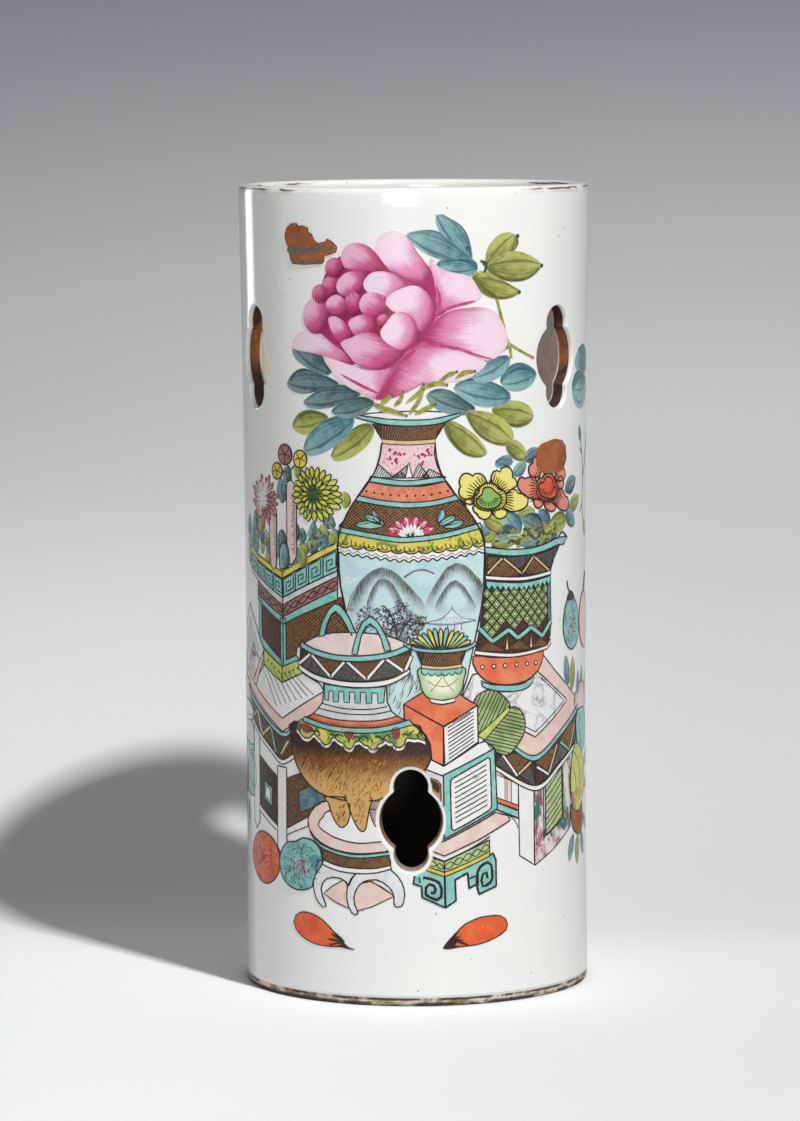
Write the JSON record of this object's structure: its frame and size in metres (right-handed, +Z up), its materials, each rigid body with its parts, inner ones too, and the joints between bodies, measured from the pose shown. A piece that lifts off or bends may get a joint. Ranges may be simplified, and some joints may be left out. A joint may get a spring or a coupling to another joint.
{
  "type": "hat stand",
  "caption": "Tall open porcelain cylinder on a bare foot ring, pierced by an upper and a lower row of lobed windows, for resting a hat on.",
  "frame": {"origin": "centre of the foot ring's contact plane", "axes": "+Z up along the cylinder's axis, the painted front faces -Y, +X is to the viewer's right"},
  "size_m": [0.1246, 0.1246, 0.285],
  "materials": {
    "glaze": "glossy transparent glaze over white porcelain",
    "floor_glaze": "thin dulled glaze",
    "slip": "matt unglazed slip"
  },
  "bodies": {
    "root": {"wall": "glaze", "floor_disc": "floor_glaze", "luting_coil": "slip"}
  },
  "joints": []
}
